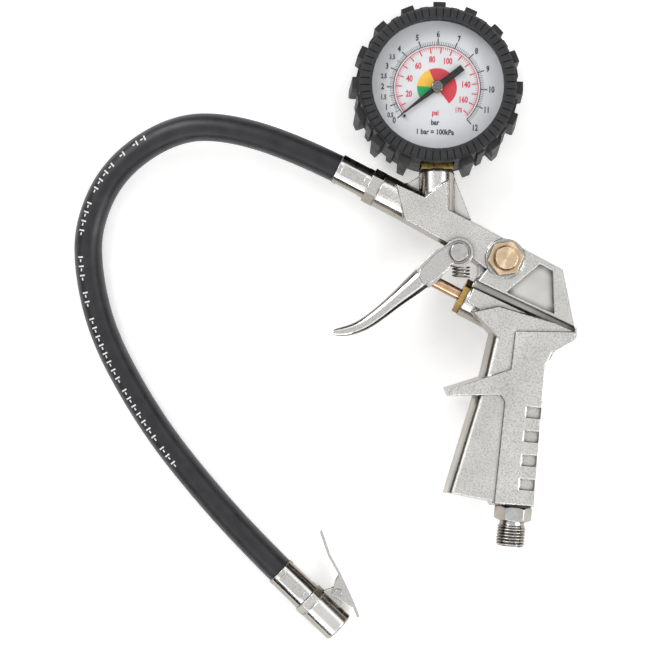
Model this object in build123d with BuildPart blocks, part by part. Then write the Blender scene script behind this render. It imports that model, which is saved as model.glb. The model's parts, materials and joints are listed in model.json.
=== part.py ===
from build123d import *
import os
from math import atan2, cos, degrees, radians, sin, tan

# Tyre inflator gun with a dial gauge, a rubber hose and a clip-on chuck, lying on its back.
# +X is to the right of the gun, +Y runs from the air inlet to the gauge, +Z faces the dial.
# The origin is at the bottom centre of the gun and its gauge; the floor is Z = 0.

# ---------------------------------------------------------------- driving dimensions (mm)
LEVEL = 21.1                # height of the gun's mid-plane over the floor
GUN_ANGLE = -27.5           # slope of the arm and the barrel in the XY plane, degrees
RUN_CLEARANCE = 0.05        # radial clearance of a sliding or turning shaft
SIDE_CLEARANCE = 0.3        # sideways clearance between moving pieces
G14_R = 13.157 / 2          # major radius of a G1/4 pipe thread

ARM_HALF = 8.3              # half thickness of the arm
ARM_TAPER = 9               # draft of the arm's sides, degrees
WEB_HALF = 4.0              # half thickness of the web in the window and the groove
GRIP_HALF = 12.2            # half thickness of the grip under its raised plate
PLATE_RISE = 1.2            # rise of the grip's middle plate over the grip
GRIP_TAPER = 7              # draft of the grip's sides, degrees
GUSSET_HALF = 1.2           # half thickness of the thin gussets beside the gauge boss

NECK_R = 8.0                # round neck that takes the hose adapter
NECK_LENGTH = 17.0
BARREL_R = 8.5              # barrel that holds the valve
BARREL_LENGTH = 46.0
BARREL_BORE_R = 5.5
BARREL_BORE_DEPTH = 37.0
ROD_R = 2.7                 # plunger rod
ROD_OUT = 22.2              # rod length that stands out of the barrel
PASSAGE_R = 2.0             # drilled air ways

BOSS_R = 8.0                # boss under the gauge
BOSS_TOP = 44.4             # height of the boss top over the origin, along Y
BOSS_X = -7.0
GAUGE_LEAN = 6.0            # lean of the gauge toward the floor, degrees
CASE_R = 32.0               # gauge case
GAUGE_REACH = CASE_R + 5.4  # from the boss top to the gauge centre
CASE_WALL = 0.8
CASE_BACK = -11.0           # back of the case, from the stem axis
CASE_FRONT = 14.0
DIAL_R = CASE_R - 1.4
DIAL_LEVEL = 8.0            # front face of the dial plate
DIAL_THICKNESS = 0.6
LENS_LEVEL = 12.2
LENS_THICKNESS = 1.8
WINDOW_R = CASE_R - 2.8      # opening of the boot over the lens
BOOT_R = CASE_R + 3          # rubber boot under its lugs
BOOT_BACK = -13.5
BOOT_FRONT = 17.0
LUG_REACH = CASE_R + 7.3     # outer radius of the large lugs
SMALL_LUG_REACH = CASE_R + 5
LUG_COUNT = 16
DIAL_TURN = -1.7            # the dial sits a little clockwise, degrees
POINTER_SWEEP = 266.5       # full scale sweep of the pointer, degrees
POINTER_REST = 219.5        # angle of the zero mark, degrees

LEVER_PIVOT = (2.4, 8.7)
LEVER_EAR_R = 6.3
PIVOT_LUG_R = 5.6           # lug of the body round the pivot pin
LEVER_SHEET = 2.0           # wall of the lever casting
HANDLE_ROUND = 0.42         # corner radius of the lever's handle over its thickness
EAR_REACH = 20.5            # reach of the lever's flat ears from the pivot
EAR_RIM = 1.1               # raised rim round the flat ears
EAR_PANEL = 0.4             # depth of the panel inside the rim
PIN_R = 2.5
PIN_HEAD_R = 4.3

BUTTON_PLACE = (23.0, 6.0)
BUTTON_R = 5.3
BUTTON_NUT_AF = 14.0
BUTTON_TRAVEL = 2.0

INLET_PLACE = (27.7, -103.6)
INLET_LEAN = 5.7            # lean of the inlet axis, degrees
INLET_HEX_AF = 14.6
INLET_HEX = 6.7
INLET_THREAD = 9.6
INLET_NECK_R = 5.6
INLET_SEAT_R = 8.6          # spot face under the grip for the inlet's hexagon

HOSE_R = 6.3
HOSE_BORE_R = HOSE_R - 3.3
FERRULE_R = HOSE_R + 0.7
FERRULE_LENGTH = 15.5
ADAPTER_HEX_AF = 14.0
ADAPTER_HEX = 5.2
CHUCK_PLACE = (-77.6, -135.5)
CHUCK_ANGLE = -44.0
CHUCK_LEVEL = 7.6
CHUCK_R = 7.5
CHUCK_FERRULE_LENGTH = 17.0
CHUCK_LENGTH = 37.5         # from the ferrule's hose end to the chuck's face
CHUCK_MOUTH_R = 4.4
CHUCK_MOUTH_DEPTH = 7.0
CLIP_PIVOT = (25.8, 11.4)   # along and across the chuck
CLIP_HALF = 3.6             # half width of the clip lever
CLIP_SHEET = 0.8
CLIP_PIN_R = 1.1

# ------------------------------------------------------------------------------- planes
def direction(angle):
    return Vector(cos(radians(angle)), sin(radians(angle)), 0)


GUN = Plane.XY.offset(LEVEL)
BARREL = Plane(origin=(5.8, -11.2, LEVEL), x_dir=(0, 0, 1), z_dir=direction(GUN_ANGLE))
NECK_FACE = Vector(-32.8, 37.1, LEVEL)
NECK = Plane(origin=NECK_FACE, x_dir=(0, 0, 1), z_dir=-direction(GUN_ANGLE))
STEM_UP = Vector(0, cos(radians(GAUGE_LEAN)), -sin(radians(GAUGE_LEAN)))
STEM_FRONT = Vector(0, sin(radians(GAUGE_LEAN)), cos(radians(GAUGE_LEAN)))
STEM_BASE = Vector(BOSS_X, BOSS_TOP, LEVEL)
STEM = Plane(origin=STEM_BASE, x_dir=(1, 0, 0), z_dir=STEM_UP)
GAUGE = Plane(origin=STEM_BASE + STEM_UP * GAUGE_REACH, x_dir=(1, 0, 0), z_dir=STEM_FRONT)
GAUGE_AXIS = Axis(GAUGE.origin, GAUGE.z_dir)
INLET_DOWN = Vector(-sin(radians(INLET_LEAN)), -cos(radians(INLET_LEAN)), 0)
INLET = Plane(origin=(*INLET_PLACE, LEVEL), x_dir=(0, 0, 1), z_dir=INLET_DOWN)
CHUCK = Plane(origin=(*CHUCK_PLACE, CHUCK_LEVEL), x_dir=direction(CHUCK_ANGLE), z_dir=(0, 0, 1))
CHUCK_LINE = Plane(origin=CHUCK.origin, x_dir=(0, 0, 1), z_dir=CHUCK.x_dir)
BUTTON = Plane(origin=(*BUTTON_PLACE, LEVEL))
PIVOT = Plane(origin=(*LEVER_PIVOT, LEVEL))


# ------------------------------------------------------------------------------ helpers
def spun(plane, angle):
    """The plane turned about its own normal."""
    turn = radians(angle)
    return Plane(plane.origin, x_dir=plane.x_dir * cos(turn) + plane.y_dir * sin(turn), z_dir=plane.z_dir)


def rod(plane, start, length, radius, mode=Mode.ADD):
    """A cylinder on the plane's normal, added to the part being built."""
    with BuildSketch(plane.offset(start), mode=Mode.PRIVATE) as section:
        Circle(radius)
    extrude(section.sketch, amount=length, mode=mode)


def hexagon(plane, start, length, across_flats, turn=0, mode=Mode.ADD):
    """A hexagonal prism on the plane's normal."""
    with BuildSketch(plane.offset(start), mode=Mode.PRIVATE) as section:
        RegularPolygon(across_flats / 2, 6, major_radius=False, rotation=turn)
    extrude(section.sketch, amount=length, mode=mode)


def inset(points, amount):
    """The closed outline moved inward by amount, with its corners kept sharp."""
    corners = [Vector(*point) for point in points]
    area = sum(p.X * q.Y - q.X * p.Y for p, q in zip(corners, corners[1:] + corners[:1]))
    inward = 1 if area > 0 else -1
    moved = []
    for i, corner in enumerate(corners):
        before = (corner - corners[i - 1]).normalized()
        after = (corners[(i + 1) % len(corners)] - corner).normalized()
        half_turn = (before + after).normalized()
        normal = Vector(-half_turn.Y, half_turn.X) * inward
        moved.append(corner + normal * (amount / half_turn.dot(after)))
    return [(point.X, point.Y) for point in moved]


def slab(plane, points, half, taper=0, mode=Mode.ADD):
    """A closed outline carried to both sides of the plane, drawn in by the taper."""
    drawn_in = inset(points, half * tan(radians(taper)))
    for side in (1, -1):
        with BuildSketch(plane, mode=Mode.PRIVATE) as middle:
            with BuildLine():
                Polyline(*points, close=True)
            make_face()
        with BuildSketch(plane.offset(side * half), mode=Mode.PRIVATE) as face:
            with BuildLine():
                Polyline(*drawn_in, close=True)
            make_face()
        loft([middle.sketch, face.sketch], ruled=True, mode=mode)


def recess(plane, points, floor, depth=20, mode=Mode.SUBTRACT):
    """The outline cut away from both faces, down to the floor's half thickness."""
    for side in (1, -1):
        with BuildSketch(plane.offset(side * floor), mode=Mode.PRIVATE) as section:
            with BuildLine():
                Polyline(*points, close=True)
            make_face()
        extrude(section.sketch, amount=side * depth, mode=mode)


def coil(plane, length, radius, wire, turns):
    """A closed-up helical spring on the plane's normal, from its origin."""
    pitch = (length - 2 * wire) / turns
    path = plane.offset(wire) * Helix(pitch, pitch * turns, radius)
    start = Plane(origin=path @ 0, z_dir=path % 0)
    with BuildSketch(start, mode=Mode.PRIVATE) as section:
        Circle(wire / 2)
    sweep(section.sketch, path=path, is_frenet=True)


def save(builder, label):
    builder.part.label = label
    export_step(builder.part, f"parts/{label}.step")


os.makedirs("parts", exist_ok=True)

# ----------------------------------------------------------------------- gun body casting
ARM_OUTLINE = [(-27, 41.2), (-12.8, 34.7), (-6, 40.2), (-1.2, 42.6), (-1.2, 28.6), (49.8, 1.6),
               (55.2, -25.4), (52, -25.8), (9.8, -5.6), (9.7, -3.4), (13.3, 1.0), (8.9, 4.3),
               (-2.6, 11.6), (-22.6, 22.6)]
GROOVE = [(9.4, -3.2), (54, -24.4), (53.4, -26.6), (8.2, -6.2)]
WEB_OUTLINE = [(11, 8), (52, -22), (50, -28), (12, -12), (9.4, -5.6), (11.4, -1.0)]
WINDOW = [(38.6, 3.5), (44.2, 0.6), (44.9, -18.6), (23.7, -9.0)]
BARREL_PAD = [(8.3, -5.7), (43.3, -22.4), (14.0, -19.5), (4.9, -13.7)]
PAD_RISE = 0.4
LEFT_GUSSET = [(-26, 39.5), (-19.6, 40.2), (-13.0, 44.2), (-8, 40), (-10, 32)]
RIGHT_GUSSET = [(-2, 43.6), (0.6, 43.6), (8.4, 23.6), (-2, 28)]
GRIP_OUTLINE = [(6, -17), (16.2, -27.6), (12.4, -44), (-4.4, -98.8), (15.6, -102.6),
                (16.6, -104.4), (37.0, -105.2), (40.2, -61), (41.8, -41.4), (44.6, -35.8),
                (55.6, -29.6), (56, -24.6), (20, -14)]
PLATE_OUTLINE = [(26.4, -25.4), (24.4, -42.6), (-4.2, -51.6), (-2.4, -55.6), (20.2, -55.3),
                 (21.6, -57.6), (16.8, -103.2), (36.6, -104.6), (39.8, -61), (41.4, -41.6),
                 (44.2, -36.2), (54.6, -30.4), (54.8, -25.8)]
STRAP_LIMIT = 16            # the front strap's long edges lie left of this
STRAP_END = -90             # and above this
STRAP_R = 4.0
NOTCH_FIRST = (35.0, -62.3)
NOTCH_STEP = (-0.97, -10.6)
NOTCH_SIZE = (6.4, 4.9)
NOTCH_COUNT = 4

with BuildPart() as grip:
    slab(GUN, GRIP_OUTLINE, GRIP_HALF, taper=GRIP_TAPER)
    front_strap = [edge for edge in grip.edges()
                   if abs(abs(edge.center().Z - LEVEL) - GRIP_HALF) < 0.01
                   and edge.center().X < STRAP_LIMIT and edge.center().Y > STRAP_END
                   and edge.length > 15]
    fillet(front_strap, STRAP_R)

with BuildPart() as gun_body:
    slab(GUN, ARM_OUTLINE, ARM_HALF, taper=ARM_TAPER)
    add(grip.part)
    slab(GUN, PLATE_OUTLINE, GRIP_HALF + PLATE_RISE, taper=4)
    slab(GUN, WEB_OUTLINE, WEB_HALF)
    slab(GUN, BARREL_PAD, BARREL_R + PAD_RISE, taper=GRIP_TAPER)
    slab(GUN, LEFT_GUSSET, GUSSET_HALF)
    slab(GUN, RIGHT_GUSSET, GUSSET_HALF)
    rod(BARREL, 0, BARREL_LENGTH, BARREL_R)
    rod(NECK, -NECK_LENGTH, NECK_LENGTH, NECK_R)
    with BuildSketch(Plane.XZ.offset(-BOSS_TOP - 1), mode=Mode.PRIVATE) as boss:
        with Locations((BOSS_X, LEVEL)):
            Circle(BOSS_R)
    extrude(boss.sketch, amount=23)
    rod(BUTTON, 0, ARM_HALF + 0.9, 8.8)
    rod(PIVOT, -ARM_HALF, 2 * ARM_HALF, PIVOT_LUG_R)
    recess(GUN, WINDOW, WEB_HALF)
    recess(GUN, GROOVE, WEB_HALF)
    for i in range(NOTCH_COUNT):
        for side in (1, -1):
            level = LEVEL + side * (GRIP_HALF + PLATE_RISE)
            with BuildSketch(Plane.XY.offset(level), mode=Mode.PRIVATE) as notch:
                with Locations((NOTCH_FIRST[0] + i * NOTCH_STEP[0], NOTCH_FIRST[1] + i * NOTCH_STEP[1])):
                    Rectangle(*NOTCH_SIZE, rotation=-5)
            extrude(notch.sketch, amount=-side * 1.4, mode=Mode.SUBTRACT)
    # bores: barrel, hose neck, gauge boss, bleed valve, inlet, and the drilled air ways
    rod(PIVOT, -20, 40, PIN_R, mode=Mode.SUBTRACT)
    rod(BARREL, -1, BARREL_BORE_DEPTH + 1, BARREL_BORE_R, mode=Mode.SUBTRACT)
    rod(NECK, -10, 11, G14_R, mode=Mode.SUBTRACT)
    rod(NECK, -62, 53, PASSAGE_R, mode=Mode.SUBTRACT)
    rod(STEM, 0, 8, BOSS_R + 2, mode=Mode.SUBTRACT)
    rod(STEM, -10, 11, G14_R, mode=Mode.SUBTRACT)
    rod(STEM, -20, 11, PASSAGE_R, mode=Mode.SUBTRACT)
    rod(BUTTON, -3, 16, 6.5, mode=Mode.SUBTRACT)
    rod(INLET, 0, 8, INLET_SEAT_R, mode=Mode.SUBTRACT)
    rod(INLET, -12, 13, G14_R, mode=Mode.SUBTRACT)
    rod(INLET, -76, 65, 3.0, mode=Mode.SUBTRACT)
    cross = Plane(origin=BARREL.offset(14).origin, z_dir=direction(GUN_ANGLE + 90))
    rod(cross, 0, 26, PASSAGE_R, mode=Mode.SUBTRACT)
save(gun_body, "gun_body")

# -------------------------------------------------------------------------- inlet nipple
with BuildPart() as inlet_nipple:
    rod(INLET, -9, 9, G14_R)
    hexagon(INLET, 1.0, INLET_HEX, INLET_HEX_AF, turn=30)
    rod(INLET, 0, 1.0, INLET_NECK_R)
    rod(INLET, 1.0 + INLET_HEX, 1.8, INLET_NECK_R)
    rod(INLET, 2.8 + INLET_HEX, INLET_THREAD, G14_R)
    rod(INLET, -10, 30 + INLET_THREAD, 3.5, mode=Mode.SUBTRACT)
save(inlet_nipple, "inlet_nipple")

with BuildPart() as inlet_seal:
    rod(INLET, 0, 1.0, 8.0)
    rod(INLET, 0, 1.0, INLET_NECK_R, mode=Mode.SUBTRACT)
save(inlet_seal, "inlet_seal")

# ------------------------------------------------------------------- valve in the barrel
SEAT_START = 20.0
SEAT_LENGTH = 3.0
SEAT_HOLE_R = 2.6
STEM_R = 1.4
POPPET_GAP = 0.05
POPPET_LENGTH = 3.0
GLAND_FLANGE = 2.6
GLAND_SHANK = 6.0

with BuildPart() as gland_nut:
    hexagon(BARREL, -GLAND_FLANGE, GLAND_FLANGE, 14.0, turn=90)
    rod(BARREL, 0, GLAND_SHANK, BARREL_BORE_R)
    rod(BARREL, -5, 20, ROD_R + RUN_CLEARANCE, mode=Mode.SUBTRACT)
save(gland_nut, "gland_nut")

with BuildPart() as rod_seal:
    rod(BARREL, GLAND_SHANK, 2.4, BARREL_BORE_R)
    fillet(rod_seal.edges(), 1.1)
    rod(BARREL, GLAND_SHANK - 1, 6, ROD_R + RUN_CLEARANCE, mode=Mode.SUBTRACT)
save(rod_seal, "rod_seal")

with BuildPart() as valve_seat:
    rod(BARREL, SEAT_START, SEAT_LENGTH, BARREL_BORE_R)
    rod(BARREL, SEAT_START - 1, SEAT_LENGTH + 2, SEAT_HOLE_R, mode=Mode.SUBTRACT)
save(valve_seat, "valve_seat")

POPPET_START = SEAT_START + SEAT_LENGTH + POPPET_GAP
with BuildPart() as plunger_rod:
    rod(BARREL, -ROD_OUT, ROD_OUT + 12, ROD_R)
    chamfer(plunger_rod.edges().filter_by(GeomType.CIRCLE), 0.5)
    rod(BARREL, 10, POPPET_START - 10, STEM_R)
save(plunger_rod, "plunger_rod")

with BuildPart() as inlet_valve:
    rod(BARREL, POPPET_START, POPPET_LENGTH, 4.4)
    rod(BARREL, POPPET_START, POPPET_LENGTH + 3, 2.0)
save(inlet_valve, "inlet_valve")

SPRING_START = POPPET_START + POPPET_LENGTH
with BuildPart() as valve_spring:
    coil(BARREL.offset(SPRING_START), BARREL_BORE_DEPTH - SPRING_START, 3.1, 0.8, 4)
save(valve_spring, "valve_spring")

# --------------------------------------------------------------------------------- lever
EAR_INNER = ARM_HALF + SIDE_CLEARANCE
EAR_OUTER = EAR_INNER + LEVER_SHEET
EAR_PANEL_OUTLINE = [(-0.8, 13.0), (-8.2, 8.0), (-14.6, 1.2), (-15.4, -2.0), (-13.6, -5.6),
                     (-11.0, -5.2), (-4.8, -0.6), (1.6, 6.0)]
# the handle from the ear to the tip: centre, thickness and heading of each section
HANDLE = [(-8.3, 2.0, 10.8, -133), (-13.3, -2.6, 10.0, -136), (-22.1, -9.8, 8.0, -139),
          (-30.7, -16.8, 6.5, -142), (-38.5, -22.5, 5.9, -148), (-46.3, -25.9, 4.9, -161),
          (-51.3, -26.7, 3.6, -174), (-53.4, -26.8, 2.2, -180)]
with BuildPart() as handle:
    for x, y, thickness, heading in HANDLE:
        across = Plane(origin=(x, y, LEVEL), x_dir=direction(heading + 90), z_dir=direction(heading))
        with BuildSketch(across):
            RectangleRounded(thickness, 2 * EAR_OUTER, HANDLE_ROUND * thickness)
    loft()

with BuildPart() as trigger_lever:
    with BuildSketch(GUN, mode=Mode.PRIVATE) as side_view:
        with BuildLine():
            back = Spline((-8.4, 9.4), (-19.9, -2.0), (-30.4, -12.2))
            front = Spline((-28.5, -19.4), (-17.5, -11.6), (-6.0, -3.0), (-1.2, 3.2))
            Polyline(back @ 1, front @ 0)
            Polyline(front @ 1, LEVER_PIVOT, (-2.2, 12.6), back @ 0)
        make_face()
        with Locations(LEVER_PIVOT):
            Circle(LEVER_EAR_R)
            Circle(EAR_REACH, mode=Mode.INTERSECT)
    extrude(side_view.sketch, amount=EAR_OUTER, both=True)
    add(handle.part)
    # the sunk panel on each ear
    for side in (1, -1):
        with BuildSketch(GUN.offset(side * (EAR_OUTER - EAR_PANEL)), mode=Mode.PRIVATE) as panel:
            with BuildLine():
                Polyline(*EAR_PANEL_OUTLINE, close=True)
            make_face()
            with Locations(LEVER_PIVOT):
                Circle(LEVER_EAR_R - EAR_RIM)
        extrude(panel.sketch, amount=side * 2, mode=Mode.SUBTRACT)
    # the channel between the two cheeks, open toward the barrel
    with BuildSketch(GUN, mode=Mode.PRIVATE) as channel:
        with BuildLine():
            inner = Spline((-7.4, 7.6), (-18.8, -4.2), (-29.6, -14.4), (-38.5, -21.6))
            Polyline(inner @ 1, (-40, -34), (12, -34), (12, 18), (-9.4, 18), inner @ 0)
        make_face()
    extrude(channel.sketch, amount=EAR_INNER, both=True, mode=Mode.SUBTRACT)
    rod(PIVOT, -20, 40, PIN_R + RUN_CLEARANCE, mode=Mode.SUBTRACT)
save(trigger_lever, "trigger_lever")

PIN_GRIP = EAR_OUTER + SIDE_CLEARANCE
with BuildPart() as pivot_pin:
    rod(PIVOT, -PIN_GRIP - 1.4, 1.4, PIN_HEAD_R)
    rod(PIVOT, -PIN_GRIP, 2 * PIN_GRIP, PIN_R)
    rod(PIVOT, PIN_GRIP, 1.4, PIN_HEAD_R)
    chamfer(pivot_pin.faces().sort_by(Axis.Z)[-1].edges(), 0.5)
save(pivot_pin, "pivot_pin")

# ------------------------------------------------------------------- bleed (deflate) valve
BUTTON_BOTTOM = -3.0
NUT_BASE = ARM_HALF + 0.9
NUT_HEIGHT = 3.4
SHANK_BOTTOM = 4.6
with BuildPart() as bleed_nut:
    hexagon(BUTTON, NUT_BASE, NUT_HEIGHT, BUTTON_NUT_AF, turn=8)
    rod(BUTTON, SHANK_BOTTOM, NUT_BASE - SHANK_BOTTOM, 6.5)
    rod(BUTTON, 0, 20, BUTTON_R + RUN_CLEARANCE, mode=Mode.SUBTRACT)
save(bleed_nut, "bleed_nut")

with BuildPart() as bleed_button:
    rod(BUTTON, 2.4, NUT_BASE + NUT_HEIGHT + 3.8 - 2.4, BUTTON_R)
    chamfer(bleed_button.faces().sort_by(Axis.Z)[-1].edges(), 0.5)
    rod(BUTTON, 2.4, 1.9, 6.2)
    rod(BUTTON, BUTTON_BOTTOM + BUTTON_TRAVEL + 0.4, 3.2, 1.5)
save(bleed_button, "bleed_button")

with BuildPart() as bleed_seal:
    rod(BUTTON, BUTTON_BOTTOM, 1.6, 6.5)
    rod(BUTTON, BUTTON_BOTTOM - 1, 4, 4.6, mode=Mode.SUBTRACT)
save(bleed_seal, "bleed_seal")

with BuildPart() as bleed_spring:
    coil(BUTTON.offset(BUTTON_BOTTOM), 2.4 - BUTTON_BOTTOM, 3.2, 0.7, 3)
save(bleed_spring, "bleed_spring")

# --------------------------------------------------------------------------------- gauge
SOCKET_SIDE = 14.0
SOCKET_TOP = GAUGE_REACH - CASE_R
BLOCK_TOP = SOCKET_TOP + 7
with BuildPart() as gauge_socket:
    rod(STEM, -9, 9, G14_R)
    with BuildSketch(STEM.offset(1.0), mode=Mode.PRIVATE) as square:
        Rectangle(SOCKET_SIDE, SOCKET_SIDE)
    extrude(square.sketch, amount=SOCKET_TOP - 1.0)
    rod(STEM, 0, BLOCK_TOP, 5.0)
    rod(STEM, -12, BLOCK_TOP + 9, 1.6, mode=Mode.SUBTRACT)
save(gauge_socket, "gauge_socket")

with BuildPart() as gauge_seal:
    rod(STEM, 0, 1.0, 7.6)
    rod(STEM, -1, 3, 5.0, mode=Mode.SUBTRACT)
save(gauge_seal, "gauge_seal")

with BuildPart() as gauge_case:
    rod(GAUGE, CASE_BACK, CASE_FRONT - CASE_BACK, CASE_R)
    rod(GAUGE, CASE_BACK + CASE_WALL, 40, CASE_R - CASE_WALL, mode=Mode.SUBTRACT)
    rod(STEM, SOCKET_TOP - 3, 8, 5.0, mode=Mode.SUBTRACT)
save(gauge_case, "gauge_case")

TUBE_R = 23.0
TUBE_LEVEL = -2.0
TUBE_HEIGHT = 6.0
TUBE_START = -78.0
TUBE_SWEEP = 275.0
with BuildPart() as bourdon_tube:
    start_angle = radians(TUBE_START)
    foot = GAUGE.from_local_coords(Vector(TUBE_R * cos(start_angle), TUBE_R * sin(start_angle), 0))
    radial = GAUGE.from_local_coords(Vector(cos(start_angle), sin(start_angle), 0)) - GAUGE.origin
    tangent = GAUGE.z_dir.cross(radial)
    with BuildSketch(Plane(origin=foot, x_dir=radial, z_dir=tangent), mode=Mode.PRIVATE) as oval:
        with Locations((0, -TUBE_LEVEL)):
            RectangleRounded(2.4, TUBE_HEIGHT, 1.1)
    revolve(oval.sketch, GAUGE_AXIS, TUBE_SWEEP)
    with Locations(GAUGE):
        with Locations((3.2, BLOCK_TOP - GAUGE_REACH + 2, TUBE_LEVEL)):
            Box(6.4, 4.0, TUBE_HEIGHT)
save(bourdon_tube, "bourdon_tube")

# movement: two brass plates on pillars, a toothed sector and a pinion
PINION_TEETH = 12
SECTOR_RATIO = 9
PINION_R = 1.8
SECTOR_R = PINION_R * SECTOR_RATIO
SECTOR_PLACE = (0.0, -(PINION_R + SECTOR_R))
PLATE_LEVELS = (-6.4, 3.6)
PLATE_THICKNESS = 1.2
SHAFT_R = 0.8
GEAR_LEVEL = -1.2
GEAR_FACE = 1.4
PILLARS = [(-8.5, 3.0), (8.5, 3.0), (-10.5, -20.5), (8.8, -16.4)]
DIAL_POSTS = [(-5.0, 3.0), (5.0, 3.0), (0.0, -12.0)]
with BuildPart() as movement_frame:
    for level in PLATE_LEVELS:
        with BuildSketch(GAUGE.offset(level), mode=Mode.PRIVATE) as plate:
            with BuildLine():
                Polyline((-10.5, 5), (10.5, 5), (10.6, -18.2), (3, -19.8), (-12.5, -22.4), close=True)
            make_face()
            fillet(plate.vertices(), 1.5)
            with Locations((0, 0), SECTOR_PLACE):
                Circle(SHAFT_R + RUN_CLEARANCE, mode=Mode.SUBTRACT)
        extrude(plate.sketch, amount=PLATE_THICKNESS)
    with BuildSketch(GAUGE.offset(CASE_BACK + CASE_WALL), mode=Mode.PRIVATE) as pillars:
        with Locations(*PILLARS):
            Circle(1.5)
    extrude(pillars.sketch, amount=PLATE_LEVELS[1] - CASE_BACK - CASE_WALL)
    with BuildSketch(GAUGE.offset(PLATE_LEVELS[1] + PLATE_THICKNESS), mode=Mode.PRIVATE) as posts:
        with Locations(*DIAL_POSTS):
            Circle(1.2)
    extrude(posts.sketch, amount=DIAL_LEVEL - DIAL_THICKNESS - PLATE_LEVELS[1] - PLATE_THICKNESS)
save(movement_frame, "movement_frame")

with BuildPart() as movement_screws:
    for place in PILLARS:
        seat = GAUGE.offset(PLATE_LEVELS[1] + PLATE_THICKNESS)
        with BuildSketch(seat, mode=Mode.PRIVATE) as head:
            with Locations(place):
                Circle(1.7)
        extrude(head.sketch, amount=1.0)
        with BuildSketch(seat.offset(1.0), mode=Mode.PRIVATE) as slot:
            with Locations(place):
                Rectangle(4, 0.5)
        extrude(slot.sketch, amount=-0.5, mode=Mode.SUBTRACT)
save(movement_screws, "movement_screws")


def toothed(level, thickness, root_r, tip_r, tooth_angle, first, count, step):
    """Trapezoid teeth round the local origin of the level's plane."""
    for k in range(count):
        middle = first + k * step
        wide = tooth_angle / 2
        narrow = tooth_angle / 4
        corners = [(root_r - 0.4, middle - wide), (tip_r, middle - narrow),
                   (tip_r, middle + narrow), (root_r - 0.4, middle + wide)]
        with BuildSketch(level, mode=Mode.PRIVATE) as tooth:
            with BuildLine():
                Polyline(*[(r * cos(radians(a)), r * sin(radians(a))) for r, a in corners], close=True)
            make_face()
        extrude(tooth.sketch, amount=thickness)


PINION_STEP = 360 / PINION_TEETH
SECTOR_STEP = PINION_STEP / SECTOR_RATIO
TOOTH_SHARE = 0.34
TOOTH_IN = 0.42
TOOTH_OUT = 0.28
SECTOR = Plane(origin=GAUGE.from_local_coords(Vector(*SECTOR_PLACE, 0)),
               x_dir=GAUGE.x_dir, z_dir=GAUGE.z_dir)
with BuildPart() as pinion_shaft:
    rod(GAUGE, PLATE_LEVELS[0], DIAL_LEVEL + 1.6 - PLATE_LEVELS[0], SHAFT_R)
    rod(GAUGE, GEAR_LEVEL - 0.6, GEAR_FACE + 1.2, PINION_R - TOOTH_IN)
    toothed(GAUGE.offset(GEAR_LEVEL - 0.6), GEAR_FACE + 1.2, PINION_R - TOOTH_IN,
            PINION_R + TOOTH_OUT, PINION_STEP * TOOTH_SHARE, 0, PINION_TEETH, PINION_STEP)
save(pinion_shaft, "pinion_shaft")

SECTOR_TEETH = 12
TAIL_R = 5.5
LINK_PIN_R = 0.6
with BuildPart() as sector_gear:
    rod(SECTOR, PLATE_LEVELS[0], PLATE_LEVELS[1] + PLATE_THICKNESS - PLATE_LEVELS[0], SHAFT_R)
    with BuildSketch(SECTOR.offset(GEAR_LEVEL), mode=Mode.PRIVATE) as blade:
        with BuildLine():
            rim = CenterArc((0, 0), SECTOR_R - TOOTH_IN, 90 - 33.5, 40)
            Polyline(rim @ 0, (2.2, 0), (-2.2, 0), rim @ 1)
        make_face()
        Circle(2.6)
        with BuildLine():
            Polyline((0, 2), (-TAIL_R, 1.6), (-TAIL_R, -1.6), (0, -2), close=True)
        make_face()
        with Locations((-TAIL_R, 0)):
            Circle(1.6)
    extrude(blade.sketch, amount=GEAR_FACE)
    first = 90 + SECTOR_STEP * 1.5 - (SECTOR_TEETH - 1) * SECTOR_STEP
    toothed(SECTOR.offset(GEAR_LEVEL), GEAR_FACE, SECTOR_R - TOOTH_IN, SECTOR_R + TOOTH_OUT,
            SECTOR_STEP * TOOTH_SHARE, first, SECTOR_TEETH, SECTOR_STEP)
    with BuildSketch(SECTOR, mode=Mode.PRIVATE) as eye:
        with Locations((-TAIL_R, 0)):
            Circle(LINK_PIN_R + RUN_CLEARANCE)
    extrude(eye.sketch, amount=10, both=True, mode=Mode.SUBTRACT)
save(sector_gear, "sector_gear")

with BuildPart() as link:
    tail = Vector(SECTOR_PLACE[0] - TAIL_R, SECTOR_PLACE[1], 0)
    tip_angle = radians(TUBE_START + TUBE_SWEEP)
    tip = Vector(TUBE_R * cos(tip_angle), TUBE_R * sin(tip_angle), 0)
    reach = tip - tail
    link_angle = degrees(atan2(reach.Y, reach.X))
    with BuildSketch(GAUGE.offset(1.3), mode=Mode.PRIVATE) as strap:
        with Locations(Location(tuple((tail + tip) / 2), (0, 0, link_angle))):
            SlotCenterToCenter(reach.length, 2.2)
    extrude(strap.sketch, amount=0.8)
    with BuildSketch(GAUGE.offset(GEAR_LEVEL), mode=Mode.PRIVATE) as stud:
        with Locations(tail):
            Circle(LINK_PIN_R)
    extrude(stud.sketch, amount=1.3 - GEAR_LEVEL)
save(link, "link")

HAIRSPRING_TURNS = 3.5
with BuildPart() as hairspring:
    with BuildSketch(GAUGE.offset(2.3), mode=Mode.PRIVATE) as spiral:
        Circle(1.7)
        steps = int(HAIRSPRING_TURNS * 8)
        with BuildLine():
            Spline(*[((1.6 + 4.4 * k / steps) * cos(radians(45 * k)),
                      (1.6 + 4.4 * k / steps) * sin(radians(45 * k))) for k in range(steps + 1)])
        trace(line_width=0.3)
        Circle(SHAFT_R, mode=Mode.SUBTRACT)
    extrude(spiral.sketch, amount=0.8)
save(hairspring, "hairspring")

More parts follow.
